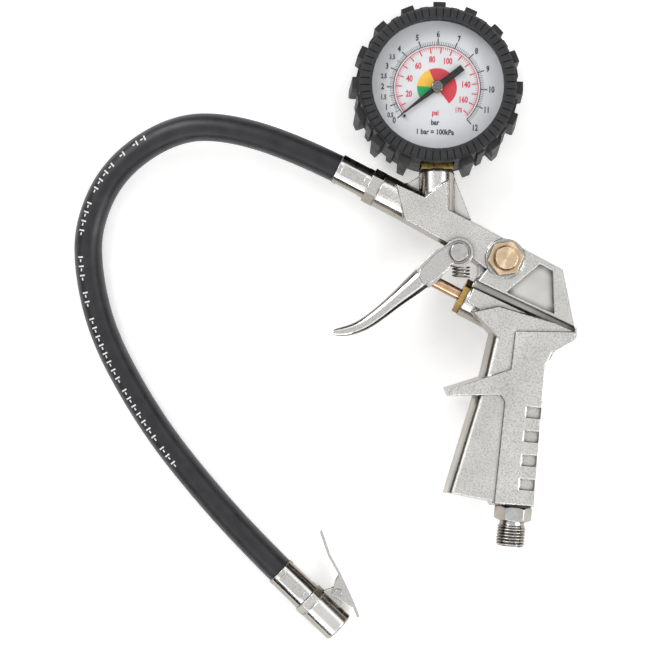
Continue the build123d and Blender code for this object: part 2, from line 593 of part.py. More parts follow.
DIAL = spun(GAUGE, DIAL_TURN)
with BuildPart() as dial_plate:
    rod(DIAL, DIAL_LEVEL - DIAL_THICKNESS, DIAL_THICKNESS, DIAL_R)
    rod(DIAL, 0, 20, SHAFT_R + 0.4, mode=Mode.SUBTRACT)
save(dial_plate, "dial_plate")

POINTER_LEVEL = DIAL_LEVEL + 1.2
POINTER_TIP = 20.5
POINTER_TAIL = 14.4
HUB_R = 2.7
with BuildPart() as stop_pin:
    stop_angle = radians(POINTER_REST + 4)
    with BuildSketch(DIAL.offset(DIAL_LEVEL), mode=Mode.PRIVATE) as pin_end:
        with Locations((19.7 * cos(stop_angle), 19.7 * sin(stop_angle))):
            Circle(0.6)
    extrude(pin_end.sketch, amount=2.4)
save(stop_pin, "stop_pin")

with BuildPart() as pointer:
    hand = spun(DIAL, POINTER_REST).offset(POINTER_LEVEL)
    with BuildSketch(hand, mode=Mode.PRIVATE) as outline:
        Circle(HUB_R)
        with BuildLine():
            Polyline((0, 1.3), (POINTER_TIP, 0.2), (POINTER_TIP, -0.2), (0, -1.3), close=True)
        make_face()
        with Locations((-POINTER_TAIL / 2, 0)):
            Rectangle(POINTER_TAIL, 3.0)
        Circle(SHAFT_R, mode=Mode.SUBTRACT)
    extrude(outline.sketch, amount=0.6)
save(pointer, "pointer")

with BuildPart() as pointer_cap:
    rod(GAUGE, POINTER_LEVEL + 0.6, 1.6, HUB_R)
    fillet(pointer_cap.edges().filter_by(GeomType.CIRCLE), 0.6)
    rod(GAUGE, POINTER_LEVEL, 1.4, SHAFT_R, mode=Mode.SUBTRACT)
save(pointer_cap, "pointer_cap")

with BuildPart() as lens:
    rod(GAUGE, LENS_LEVEL, LENS_THICKNESS, CASE_R - CASE_WALL)
save(lens, "lens")

BEZEL_THICKNESS = 1.0
with BuildPart() as bezel_ring:
    rod(GAUGE, CASE_FRONT, BEZEL_THICKNESS, CASE_R)
    rod(GAUGE, CASE_FRONT - 1, 5, WINDOW_R + 0.6, mode=Mode.SUBTRACT)
save(bezel_ring, "bezel_ring")


def lugs(reach_front, reach_back, wide_front, wide_back, first, skip):
    """A ring of tread lugs that flare toward the back of the boot."""
    outline = [(-wide_back / 2, BOOT_BACK + 0.8), (wide_back / 2, BOOT_BACK + 0.8),
               (wide_front / 2, BOOT_FRONT - 1.2), (-wide_front / 2, BOOT_FRONT - 1.2)]
    for k in range(LUG_COUNT):
        angle = first + k * 360 / LUG_COUNT
        if abs((angle + 90 + 180) % 360 - 180) < skip:
            continue
        outward = spun(GAUGE, angle).x_dir
        across = GAUGE.z_dir.cross(outward)
        with BuildSketch(Plane(GAUGE.origin + outward * (BOOT_R - 1), x_dir=across, z_dir=outward),
                         mode=Mode.PRIVATE) as lug:
            with BuildLine():
                Polyline(*[(u, -v) for u, v in outline], close=True)
            make_face()
        extrude(lug.sketch, amount=reach_back - BOOT_R + 3)
    with BuildSketch(Plane(GAUGE.origin, x_dir=GAUGE.x_dir, z_dir=GAUGE.y_dir),
                     mode=Mode.PRIVATE) as envelope:
        with BuildLine():
            Polyline((BOOT_R - 2, -BOOT_BACK), (reach_back - 1.2, -BOOT_BACK - 0.2),
                     (reach_back, -BOOT_BACK - 2.5), (reach_front, -BOOT_FRONT + 2.6),
                     (reach_front - 1.2, -BOOT_FRONT + 1.2), (BOOT_R - 2, -BOOT_FRONT + 1), close=True)
        make_face()
    revolve(envelope.sketch, GAUGE_AXIS, mode=Mode.INTERSECT)


FIRST_LUG = 90.0 + DIAL_TURN
SIPE_COUNT = 64
SIPE_MIDDLE = CASE_R + 1.8
SIPE_LENGTH = 7.0
SIPE_WIDTH = 0.45
SIPE_DEPTH = 1.0
with BuildPart() as large_lugs:
    lugs(LUG_REACH - 1.4, LUG_REACH, 2.8, 5.6, FIRST_LUG, 14)
with BuildPart() as small_lugs:
    lugs(SMALL_LUG_REACH - 1.0, SMALL_LUG_REACH, 2.4, 3.6, FIRST_LUG + 180 / LUG_COUNT, 14)
with BuildPart() as rubber_boot:
    rod(GAUGE, BOOT_BACK, BOOT_FRONT - BOOT_BACK, BOOT_R)
    rim = rubber_boot.faces().filter_by(GeomType.PLANE).sort_by(Axis.Z)
    chamfer(rim[-1].edges(), 1.2)
    add(large_lugs.part)
    add(small_lugs.part)
    rod(GAUGE, CASE_BACK, CASE_FRONT + BEZEL_THICKNESS - CASE_BACK, CASE_R, mode=Mode.SUBTRACT)
    rod(GAUGE, BOOT_BACK - 1, 60, 26, mode=Mode.SUBTRACT)
    rod(GAUGE, CASE_FRONT, 20, WINDOW_R, mode=Mode.SUBTRACT)
    # thin sipes that cut the front ring into blocks
    with BuildSketch(GAUGE.offset(BOOT_FRONT), mode=Mode.PRIVATE) as sipes:
        with PolarLocations(SIPE_MIDDLE, SIPE_COUNT, start_angle=FIRST_LUG + 180 / SIPE_COUNT):
            Rectangle(SIPE_LENGTH, SIPE_WIDTH)
    extrude(sipes.sketch, amount=-SIPE_DEPTH, mode=Mode.SUBTRACT)
    # notch for the brass socket in the side wall
    notch_low = Plane(GAUGE.origin, x_dir=GAUGE.x_dir, z_dir=-GAUGE.y_dir)
    with BuildSketch(notch_low.offset(CASE_R - 6), mode=Mode.PRIVATE) as slot:
        with Locations((0, 2.0)):
            Rectangle(SOCKET_SIDE + 1.0, 22.0)
    extrude(slot.sketch, amount=20, mode=Mode.SUBTRACT)
save(rubber_boot, "rubber_boot")

# ---------------------------------------------------------------------------------- hose
FERRULE_WALL_END = 1.5
HOSE_START = ADAPTER_HEX + FERRULE_WALL_END
CHUCK_HOSE_END = CHUCK_FERRULE_LENGTH - FERRULE_WALL_END
FIRST_RUN = 35.0
LAST_RUN = 37.0
hose_route = [
    NECK.offset(HOSE_START).origin,
    NECK.offset(HOSE_START + FIRST_RUN).origin,
    Vector(-107, 67.2, 17.5),
    Vector(-131, 63, 13.0),
    Vector(-154, 46, 9.5),
    Vector(-165, 22, 7.6),
    Vector(-165, 0, 6.8),
    Vector(-158.5, -27.5, 6.6),
    Vector(-143, -57, 6.6),
    Vector(-125, -83.5, 6.8),
    CHUCK_LINE.offset(CHUCK_HOSE_END - LAST_RUN).origin,
    CHUCK_LINE.offset(CHUCK_HOSE_END).origin,
]
BEND_SHARE = 0.49            # share of a run that the bend at each of its ends may take
bend_radii = []
for before, corner, after in zip(hose_route, hose_route[1:], hose_route[2:]):
    turn = (corner - before).get_angle(after - corner)
    shorter = min((corner - before).length, (after - corner).length)
    bend_radii.append(BEND_SHARE * shorter / tan(radians(turn / 2)))
print("hose bend radii", [round(radius, 1) for radius in bend_radii])

with BuildPart() as hose:
    with BuildLine(mode=Mode.PRIVATE) as route:
        FilletPolyline(*hose_route, radius=bend_radii)
    with BuildSketch(NECK.offset(HOSE_START), mode=Mode.PRIVATE) as ring:
        Circle(HOSE_R)
        Circle(HOSE_BORE_R, mode=Mode.SUBTRACT)
    sweep(ring.sketch, path=route.wires()[0], transition=Transition.RIGHT)
save(hose, "hose")
hose_length = route.wires()[0].length
section_area = ring.sketch.area
print("hose length", round(hose_length, 1), "volume ratio",
      round(hose.part.volume / (section_area * hose_length), 4))


def ferrule(plane, length, open_end, wall_hole_r):
    """A crimped sleeve round the hose end, with four flats, closed by a wall at z = 0."""
    rod(plane, 0, length, FERRULE_R)
    with BuildSketch(plane.offset(2.5), mode=Mode.PRIVATE) as flats:
        Rectangle(40, 40)
        RectangleRounded(2 * FERRULE_R - 0.8, 2 * FERRULE_R - 0.8, 3, mode=Mode.SUBTRACT)
    extrude(flats.sketch, amount=length - open_end - 2.5, mode=Mode.SUBTRACT)
    rod(plane, FERRULE_WALL_END, length, HOSE_R, mode=Mode.SUBTRACT)
    rod(plane, -1, length, wall_hole_r, mode=Mode.SUBTRACT)


ADAPTER_NECK_R = 4.0
with BuildPart() as hose_adapter:
    rod(NECK, -10, 10, G14_R)
    hexagon(NECK, 0, ADAPTER_HEX, ADAPTER_HEX_AF, turn=90)
    rod(NECK, ADAPTER_HEX, FERRULE_WALL_END, ADAPTER_NECK_R)
    rod(NECK, HOSE_START, 13, HOSE_BORE_R)
    rod(NECK, -11, 60, 1.8, mode=Mode.SUBTRACT)
save(hose_adapter, "hose_adapter")

with BuildPart() as gun_ferrule:
    ferrule(NECK.offset(ADAPTER_HEX), FERRULE_LENGTH, 2.0, ADAPTER_NECK_R)
save(gun_ferrule, "gun_ferrule")

# --------------------------------------------------------------------------------- chuck
CHUCK_BACK = Plane(CHUCK_LINE.offset(CHUCK_FERRULE_LENGTH).origin, x_dir=(0, 0, 1),
                   z_dir=-CHUCK_LINE.z_dir)
with BuildPart() as chuck_ferrule:
    ferrule(CHUCK_BACK, CHUCK_FERRULE_LENGTH, 2.0, ADAPTER_NECK_R)
save(chuck_ferrule, "chuck_ferrule")

BODY_START = CHUCK_FERRULE_LENGTH + 0.3
STEM_IN = 5.0
HEX_END = 21.5
CHUCK_HEX_AF = 13.4
SEAL_LENGTH = 4.0
SEAL_R = 4.0
SEAL_START = CHUCK_LENGTH - CHUCK_MOUTH_DEPTH - SEAL_LENGTH
DEPRESSOR_R = 1.9
with BuildPart() as chuck_stem:
    rod(CHUCK_LINE, CHUCK_HOSE_END - 13, 13, HOSE_BORE_R)
    rod(CHUCK_LINE, CHUCK_HOSE_END, BODY_START + STEM_IN - CHUCK_HOSE_END, ADAPTER_NECK_R)
    rod(CHUCK_LINE, 0, 60, 1.6, mode=Mode.SUBTRACT)
save(chuck_stem, "chuck_stem")

with BuildPart() as chuck_body:
    hexagon(CHUCK_LINE, BODY_START, HEX_END - BODY_START, CHUCK_HEX_AF, turn=90)
    rod(CHUCK_LINE, HEX_END, CHUCK_LENGTH - HEX_END, CHUCK_R)
    along = Axis(CHUCK.origin, CHUCK.x_dir)
    chamfer(chuck_body.edges().filter_by(GeomType.CIRCLE).sort_by(along)[-1], 0.6)
    rod(CHUCK_LINE, BODY_START - 1, STEM_IN + 1, ADAPTER_NECK_R, mode=Mode.SUBTRACT)
    rod(CHUCK_LINE, BODY_START, CHUCK_LENGTH, DEPRESSOR_R, mode=Mode.SUBTRACT)
    rod(CHUCK_LINE, SEAL_START, SEAL_LENGTH, SEAL_R, mode=Mode.SUBTRACT)
    rod(CHUCK_LINE, SEAL_START + SEAL_LENGTH, CHUCK_LENGTH, CHUCK_MOUTH_R, mode=Mode.SUBTRACT)
save(chuck_body, "chuck_body")

with BuildPart() as chuck_seal:
    rod(CHUCK_LINE, SEAL_START, SEAL_LENGTH, SEAL_R)
    rod(CHUCK_LINE, SEAL_START - 1, 5, 1.5, mode=Mode.SUBTRACT)
save(chuck_seal, "chuck_seal")

with BuildPart() as chuck_depressor:
    rod(CHUCK_LINE, SEAL_START - 2.5, 2.5, DEPRESSOR_R)
    rod(CHUCK_LINE, SEAL_START, SEAL_LENGTH - 0.2, 0.8)
    rod(CHUCK_LINE, SEAL_START - 3, 3.2, 0.7, mode=Mode.SUBTRACT)
save(chuck_depressor, "chuck_depressor")

BRACKET_HALF = CLIP_HALF - CLIP_SHEET - SIDE_CLEARANCE
BRACKET_FLOOR = CHUCK_R + 0.7
BRACKET = [(19.5, 4.5), (32.5, 4.5), (29.6, 11.6), (27.4, 13.6), (24.4, 13.6), (22.6, 11.2)]
LEVER_PLATE = [(20.4, 18.4), (35.4, 12.6), (35.0, 11.2), (27.0, 9.4), (24.6, 8.7), (21.3, 14.4)]
LEVER_TOP = [(20.2, 18.6), (35.6, 12.6), (40.3, 10.4), (39.8, 9.4), (35.2, 11.5), (20.0, 17.6),
             (11.2, 20.2), (1.2, 25.2), (0.2, 26.2), (0.9, 26.8), (11.4, 21.3)]
CLIP = Plane(CHUCK.from_local_coords(Vector(*CLIP_PIVOT, 0)), x_dir=CHUCK.x_dir, z_dir=(0, 0, 1))
with BuildPart() as clip_bracket:
    slab(CHUCK, BRACKET, BRACKET_HALF)
    slab(CHUCK, [(10, BRACKET_FLOOR), (45, BRACKET_FLOOR), (45, 40), (10, 40)],
         BRACKET_HALF - CLIP_SHEET, mode=Mode.SUBTRACT)
    rod(CHUCK_LINE, 0, 60, CHUCK_R, mode=Mode.SUBTRACT)
    hexagon(CHUCK_LINE, 0, HEX_END, CHUCK_HEX_AF, turn=90, mode=Mode.SUBTRACT)
    rod(CLIP, -10, 20, CLIP_PIN_R, mode=Mode.SUBTRACT)
save(clip_bracket, "clip_bracket")

with BuildPart() as clip_lever:
    slab(CHUCK, LEVER_PLATE, CLIP_HALF)
    slab(CHUCK, [(10, 0), (34.0, 0), (34.0, 11.0), (20.4, 17.2), (10, 17.6)], CLIP_HALF - CLIP_SHEET,
         mode=Mode.SUBTRACT)
    slab(CHUCK, LEVER_TOP, CLIP_HALF)
    rod(CLIP, -10, 20, CLIP_PIN_R + RUN_CLEARANCE, mode=Mode.SUBTRACT)
save(clip_lever, "clip_lever")

with BuildPart() as clip_pin:
    grip = CLIP_HALF + SIDE_CLEARANCE / 2
    rod(CLIP, -grip, 2 * grip, CLIP_PIN_R)
    rod(CLIP, grip, 0.7, 1.8)
    rod(CLIP, -grip - 0.7, 0.7, 1.8)
save(clip_pin, "clip_pin")

with BuildPart() as clip_spring:
    half = BRACKET_HALF - CLIP_SHEET
    coil(CLIP.offset(-half), 2 * half, 1.7, 0.5, 3)
save(clip_spring, "clip_spring")

with BuildPart() as lever_spring:
    seat = Plane((4.0, LEVER_PIVOT[1] - PIVOT_LUG_R, LEVEL), x_dir=(1, 0, 0), z_dir=(0, -1, 0))
    coil(seat, 6.0, 3.7, 0.8, 3)
save(lever_spring, "lever_spring")
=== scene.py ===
import bmesh
import bpy
import json
import math
from mathutils import Matrix, Vector


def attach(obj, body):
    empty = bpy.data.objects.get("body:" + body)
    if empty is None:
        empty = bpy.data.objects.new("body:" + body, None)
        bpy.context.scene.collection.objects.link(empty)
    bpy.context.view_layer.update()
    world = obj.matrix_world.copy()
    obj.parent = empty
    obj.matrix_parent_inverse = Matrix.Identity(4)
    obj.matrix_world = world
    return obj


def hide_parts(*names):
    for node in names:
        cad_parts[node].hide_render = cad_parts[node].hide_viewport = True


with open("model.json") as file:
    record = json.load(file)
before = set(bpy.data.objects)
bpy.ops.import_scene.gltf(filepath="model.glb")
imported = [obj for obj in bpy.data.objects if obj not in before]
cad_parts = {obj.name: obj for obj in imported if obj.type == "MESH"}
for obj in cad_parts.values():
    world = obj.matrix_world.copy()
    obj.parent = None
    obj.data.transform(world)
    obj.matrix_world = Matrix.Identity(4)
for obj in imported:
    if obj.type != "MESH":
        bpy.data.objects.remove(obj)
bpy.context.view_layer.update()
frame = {"nodes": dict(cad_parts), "record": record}
MM = 0.001
JOINTS = {joint["name"]: joint for joint in frame["record"]["behaviour"]["joints"]}
LEVEL = JOINTS["lever_hinge"]["pos_m"][2]      # height of the gun's mid-plane over the floor

CAMERA_PLACE = (-0.05815, -0.02245, LEVEL + 0.85)
CAMERA_LENS = 105.7
FLOOR_HALF = 0.9
FLOOR_DROP = 0.0001      # the floor lies a hair under the part
FLOOR_GLOW = 0.3
SKY = [(0.0, 0.02), (0.30, 0.02), (0.50, 0.06), (0.60, 1.15), (0.78, 1.25), (0.88, 0.66), (1.0, 0.70)]
SKY_BLUE = 0.99          # share of blue in the sky's light


# ------------------------------------------------------------------ camera, floor, lights
def area_light(name, place, size, power):
    """A soft oblong light at place that faces the part."""
    data = bpy.data.lights.new(name, "AREA")
    data.shape = "RECTANGLE"
    data.size, data.size_y = size
    data.energy = power
    light = bpy.data.objects.new(name, data)
    bpy.context.collection.objects.link(light)
    light.location = place
    light.rotation_euler = (-Vector(place)).to_track_quat("-Z", "Y").to_euler()


def make_camera():
    """Straight down on the part, which lies on its side."""
    data = bpy.data.cameras.new("camera")
    data.lens = CAMERA_LENS
    data.sensor_width = 36
    camera = bpy.data.objects.new("camera", data)
    bpy.context.collection.objects.link(camera)
    camera.location = CAMERA_PLACE
    bpy.context.scene.camera = camera


def make_world():
    """Light that changes with the sine of the height over the horizon, dark near the horizon."""
    world = bpy.data.worlds.new("studio")
    bpy.context.scene.world = world
    world.use_nodes = True
    tree = world.node_tree
    background = tree.nodes["Background"]
    coords = tree.nodes.new("ShaderNodeTexCoord")
    split = tree.nodes.new("ShaderNodeSeparateXYZ")
    ramp = tree.nodes.new("ShaderNodeValToRGB")
    tree.links.new(coords.outputs["Generated"], split.inputs[0])
    tree.links.new(split.outputs["Z"], ramp.inputs[0])
    tree.links.new(ramp.outputs[0], background.inputs["Color"])
    while len(ramp.color_ramp.elements) < len(SKY):
        ramp.color_ramp.elements.new(0.5)
    for element, (position, level) in zip(ramp.color_ramp.elements, SKY):
        element.position = position
        element.color = (level, level, level * SKY_BLUE, 1)


make_camera()
make_world()
area_light("key", (-0.75, 0.75, 0.80), (0.5, 0.9), 7)
area_light("fill", (0.95, -0.35, 0.75), (0.4, 0.9), 6)
area_light("low", (-0.2, -1.0, 0.55), (0.9, 0.3), 3)
bpy.context.scene.view_settings.view_transform = "Standard"


# ---------------------------------------------------------------------------- materials
SHADING_SAMPLES = 6                # for rounded edges and the painted shade in corners
# dark colour of the painted shade in inside corners
CORNER_SHADE_COLOUR = (0.035, 0.028, 0.022)
CORNER_SHADE_FROM, CORNER_SHADE_TO = 0.35, 0.85  # openness of a corner where the painted shade is full and where it ends
SIDE_FROM, SIDE_TO = 0.66, 0.82    # upward share of the normal on a drafted side and on a flat, for the painted side shade
WARM_SHADE = (0.40, 0.37, 0.33)
FACING_STEP = 0.02                 # half width of a mask's soft edge, in the normal's upward share
DEPTH_STEP = 0.0002                # the same in metres
FLATS_FROM = 0.0065                # the outer flats lie further than this from the mid-plane


class Recipe:
    """A node material on one Principled shader, in the object's own coordinates."""

    def __init__(self, name, color, roughness, metallic=0.0):
        self.material = bpy.data.materials.new(name)
        self.material.use_nodes = True
        self.tree = self.material.node_tree
        self.shader = self.tree.nodes["Principled BSDF"]
        self.shader.inputs["Base Color"].default_value = (*color, 1)
        self.shader.inputs["Roughness"].default_value = roughness
        self.shader.inputs["Metallic"].default_value = metallic
        self.color = color
        self.coords = self.tree.nodes.new("ShaderNodeTexCoord").outputs["Object"]
        self.normal = None
        self.dirt = None

    def link(self, a, b):
        self.tree.links.new(a, b)

    def noise(self, scale, detail=3, stretch=None):
        """Even noise, or streaks when it is stretched."""
        node = self.tree.nodes.new("ShaderNodeTexNoise")
        node.inputs["Scale"].default_value = scale
        node.inputs["Detail"].default_value = detail
        source = self.coords
        if stretch:
            mapping = self.tree.nodes.new("ShaderNodeMapping")
            mapping.inputs["Scale"].default_value = stretch
            self.link(self.coords, mapping.inputs[0])
            source = mapping.outputs[0]
        self.link(source, node.inputs["Vector"])
        return node.outputs["Fac"]

    def spread(self, value, low, high, from_low=0.3, from_high=0.7):
        """A value between from_low and from_high, mapped to the range from low to high."""
        node = self.tree.nodes.new("ShaderNodeMapRange")
        node.inputs["From Min"].default_value = from_low
        node.inputs["From Max"].default_value = from_high
        node.inputs["To Min"].default_value = low
        node.inputs["To Max"].default_value = high
        self.link(value, node.inputs["Value"])
        return node.outputs["Result"]

    def round_edges(self, radius):
        """Rounded edges in the shading, as a casting or a worn corner has."""
        bevel = self.tree.nodes.new("ShaderNodeBevel")
        bevel.samples = SHADING_SAMPLES
        bevel.inputs["Radius"].default_value = radius
        self.normal = bevel.outputs[0]
        self.link(self.normal, self.shader.inputs["Normal"])

    def crevices(self, distance, dark):
        """Painted shade in the inside corners: the base colour turns dark where ambient occlusion finds a
        corner closed in.
        """
        node = self.tree.nodes.new("ShaderNodeAmbientOcclusion")
        node.samples = SHADING_SAMPLES
        node.inputs["Distance"].default_value = distance
        self.dirt = self.spread(node.outputs["AO"], dark, 1.0, CORNER_SHADE_FROM, CORNER_SHADE_TO)

    def shade(self, value, dark, light):
        """Base colour between two factors of the recipe's colour, darkened by the painted corner shade where
        there is one.
        """
        node = self.tree.nodes.new("ShaderNodeMix")
        node.data_type = "RGBA"
        node.inputs["A"].default_value = (*[min(1, c * dark) for c in self.color], 1)
        node.inputs["B"].default_value = (*[min(1, c * light) for c in self.color], 1)
        self.link(value, node.inputs["Factor"])
        result = node.outputs["Result"]
        if self.dirt:
            corner_shaded = self.tree.nodes.new("ShaderNodeMix")
            corner_shaded.data_type = "RGBA"
            corner_shaded.inputs["A"].default_value = (*CORNER_SHADE_COLOUR, 1)
            self.link(result, corner_shaded.inputs["B"])
            self.link(self.dirt, corner_shaded.inputs["Factor"])
            result = corner_shaded.outputs["Result"]
        self.link(result, self.shader.inputs["Base Color"])

    def rough(self, value, low, high):
        """Roughness between low and high."""
        self.link(self.spread(value, low, high), self.shader.inputs["Roughness"])

    def bump(self, value, strength, depth):
        """A relief of the given depth in metres, over the rounded edges."""
        node = self.tree.nodes.new("ShaderNodeBump")
        node.inputs["Strength"].default_value = strength
        node.inputs["Distance"].default_value = depth
        self.link(value, node.inputs["Height"])
        if self.normal:
            self.link(self.normal, node.inputs["Normal"])
        self.link(node.outputs["Normal"], self.shader.inputs["Normal"])

    def facing_up(self, limit=0.93):
        """1 on faces that look along Z, 0 on the drafted sides."""
        geometry = self.tree.nodes.new("ShaderNodeNewGeometry")
        split = self.tree.nodes.new("ShaderNodeSeparateXYZ")
        size = self.tree.nodes.new("ShaderNodeMath")
        size.operation = "ABSOLUTE"
        self.link(geometry.outputs["True Normal"], split.inputs[0])
        self.link(split.outputs["Z"], size.inputs[0])
        return self.spread(size.outputs[0], 0, 1, limit - FACING_STEP, limit + FACING_STEP)

    def sideways(self, tint=WARM_SHADE):
        """Painted shade: faces turned away from the sky get a warmer, darker base colour."""
        link = self.shader.inputs["Base Color"].links[0]
        geometry = self.tree.nodes.new("ShaderNodeNewGeometry")
        split = self.tree.nodes.new("ShaderNodeSeparateXYZ")
        size = self.tree.nodes.new("ShaderNodeMath")
        size.operation = "ABSOLUTE"
        node = self.tree.nodes.new("ShaderNodeMix")
        node.data_type = "RGBA"
        node.blend_type = "MULTIPLY"
        node.inputs["B"].default_value = (*tint, 1)
        self.link(geometry.outputs["Normal"], split.inputs[0])
        self.link(split.outputs["Z"], size.inputs[0])
        self.link(self.spread(size.outputs[0], 1, 0, SIDE_FROM, SIDE_TO), node.inputs["Factor"])
        self.link(link.from_socket, node.inputs["A"])
        self.link(node.outputs["Result"], self.shader.inputs["Base Color"])

    def outer(self, depth):
        """1 further than depth from the gun's mid-plane."""
        split = self.tree.nodes.new("ShaderNodeSeparateXYZ")
        away = self.tree.nodes.new("ShaderNodeMath")
        away.operation = "SUBTRACT"
        away.inputs[1].default_value = LEVEL
        size = self.tree.nodes.new("ShaderNodeMath")
        size.operation = "ABSOLUTE"
        self.link(self.coords, split.inputs[0])
        self.link(split.outputs["Z"], away.inputs[0])
        self.link(away.outputs[0], size.inputs[0])
        return self.spread(size.outputs[0], 0, 1, depth - DEPTH_STEP, depth + DEPTH_STEP)

    def mottle(self, scale, low, high):
        """Broad uneven brightness over what the base colour has so far."""
        link = self.shader.inputs["Base Color"].links[0]
        node = self.tree.nodes.new("ShaderNodeVectorMath")
        node.operation = "SCALE"
        self.link(link.from_socket, node.inputs[0])
        self.link(self.spread(self.noise(scale, 4), low, high), node.inputs["Scale"])
        self.link(node.outputs[0], self.shader.inputs["Base Color"])

    def times(self, a, b):
        """The product of two masks."""
        node = self.tree.nodes.new("ShaderNodeMath")
        node.operation = "MULTIPLY"
        self.link(a, node.inputs[0])
        self.link(b, node.inputs[1])
        return node.outputs[0]


def casting():
    """Plated die casting: fine grain on the outer flats, smooth elsewhere, with painted shade in the inside
    corners and on the drafted sides.
    """
    m = Recipe("cast_nickel", (0.88, 0.87, 0.845), 0.2, 1.0)
    m.round_edges(0.0010)
    m.crevices(0.0035, 0.12)
    flats = m.times(m.facing_up(), m.outer(FLATS_FROM))
    grained = m.times(m.spread(m.noise(1500, 2), 0, 1), flats)
    m.bump(grained, 0.6, 0.00007)
    m.rough(m.noise(2400, 2), 0.13, 0.27)
    speck = m.times(m.spread(m.noise(1900, 3), 0, 0.5, 0.49, 0.62), flats)
    m.shade(speck, 1.0, 0.45)
    m.mottle(60, 0.92, 1.12)
    m.sideways((0.40, 0.37, 0.335))
    return m.material


def plated(name, color, low=0.08, high=0.18, grain=0.05):
    """Bright plating with faint wear, and painted shade in the inside corners and on faces turned away from
    the sky.
    """
    m = Recipe(name, color, 0.12, 1.0)
    m.round_edges(0.0004)
    m.crevices(0.003, 0.3)
    m.rough(m.noise(260, 5), low, high)
    m.shade(m.spread(m.noise(1600, 3), 0, 1, 0.45, 0.65), 1.05, 0.85)
    m.bump(m.noise(1400, 2), grain, 0.00005)
    m.sideways()
    return m.material


def turned(name, color, low=0.16, high=0.34, edge=0.0003, spun=0.0):
    """Machined metal with fine tool marks, spun ones with a fan of light, and painted shade in the inside
    corners and on faces turned away from the sky.
    """
    m = Recipe(name, color, 0.25, 1.0)
    m.round_edges(edge)
    m.crevices(0.003, 0.3)
    m.rough(m.noise(500, 4), low, high)
    m.shade(m.spread(m.noise(350, 5), 0, 1), 0.82, 1.08)
    m.sideways((0.55, 0.50, 0.45))
    if spun:
        tangent = m.tree.nodes.new("ShaderNodeTangent")
        tangent.direction_type = "RADIAL"
        tangent.axis = "Z"
        m.shader.inputs["Anisotropic"].default_value = spun
        m.link(tangent.outputs[0], m.shader.inputs["Tangent"])
    m.bump(m.noise(2600, 2, stretch=(0.25, 1.0, 1.0)), 0.15, 0.00005)
    return m.material


def rubber(name, color, low, high, grain, scale):
    """Moulded rubber with a matt grain."""
    m = Recipe(name, color, 0.5)
    m.rough(m.noise(200, 4), low, high)
    m.shade(m.spread(m.noise(160, 6), 0, 1), 0.75, 1.35)
    m.bump(m.noise(scale, 3), grain, 0.0002)
    m.shader.inputs["Specular IOR Level"].default_value = 0.4
    return m.material


def paint(name, color, roughness=0.4):
    """Even paint or ink."""
    m = Recipe(name, color, roughness)
    m.rough(m.noise(400, 4), roughness - 0.08, roughness + 0.08)
    m.shade(m.spread(m.noise(90, 3), 0, 1), 0.96, 1.03)
    return m.material


def lens_glass():
    """Clear plastic, thin enough to read the dial through."""
    m = Recipe("lens_clear", (1, 1, 1), 0.02)
    m.shader.inputs["Transmission Weight"].default_value = 1.0
    m.shader.inputs["IOR"].default_value = 1.3
    m.shader.inputs["Alpha"].default_value = 0.12
    m.rough(m.noise(120, 3), 0.01, 0.04)
    return m.material


finishes = {
    "cast_nickel": casting(),
    "bright_plate": plated("bright_plate", (0.78, 0.77, 0.75)),
    "zinc_steel": turned("zinc_steel", (0.70, 0.70, 0.69), 0.16, 0.30, 0.0006),
    "warm_brass": turned("warm_brass", (0.95, 0.72, 0.48), 0.22, 0.34, 0.0006, 0.85),
    "dark_brass": turned("dark_brass", (0.62, 0.43, 0.13), 0.22, 0.38, 0.0005),
    "copper_rod": turned("copper_rod", (0.80, 0.52, 0.34), 0.12, 0.24),
    "boot_rubber": rubber("boot_rubber", (0.020, 0.020, 0.022), 0.45, 0.65, 0.5, 1100),
    "hose_rubber": rubber("hose_rubber", (0.020, 0.020, 0.023), 0.32, 0.45, 0.12, 900),
    "seal_rubber": rubber("seal_rubber", (0.015, 0.015, 0.015), 0.4, 0.5, 0.1, 900),
    "case_steel": paint("case_steel", (0.02, 0.02, 0.022), 0.35),
    "dial_paint": paint("dial_paint", (0.69, 0.70, 0.725), 0.55),
    "pointer_black": paint("pointer_black", (0.012, 0.012, 0.013), 0.35),
    "lens_clear": lens_glass(),
    "movement_brass": turned("movement_brass", (0.75, 0.58, 0.28)),
    "tube_bronze": turned("tube_bronze", (0.66, 0.42, 0.22)),
    "spring_steel": turned("spring_steel", (0.60, 0.59, 0.57)),
}
slot_of = {piece["node"]: piece["material_slot"] for piece in frame["record"]["subparts"]}
for name, node in frame["nodes"].items():
    node.data.materials.clear()
    node.data.materials.append(finishes[slot_of[name]])


# -------------------------------------------------------------------------------- floor
def make_floor():
    """A square sheet of pale paper."""
    mesh = bpy.data.meshes.new("floor")
    corners = [(x * FLOOR_HALF, y * FLOOR_HALF, 0) for x, y in ((-1, -1), (1, -1), (1, 1), (-1, 1))]
    mesh.from_pydata(corners, [], [(0, 1, 2, 3)])
    floor = bpy.data.objects.new("floor", mesh)
    bpy.context.collection.objects.link(floor)
    floor.location.z = -FLOOR_DROP
    paper = paint("floor_paper", (0.93, 0.93, 0.93), 0.8)
    shader = paper.node_tree.nodes["Principled BSDF"]
    shader.inputs["Emission Color"].default_value = (1, 1, 1, 1)
    shader.inputs["Emission Strength"].default_value = FLOOR_GLOW
    mesh.materials.append(paper)


make_floor()


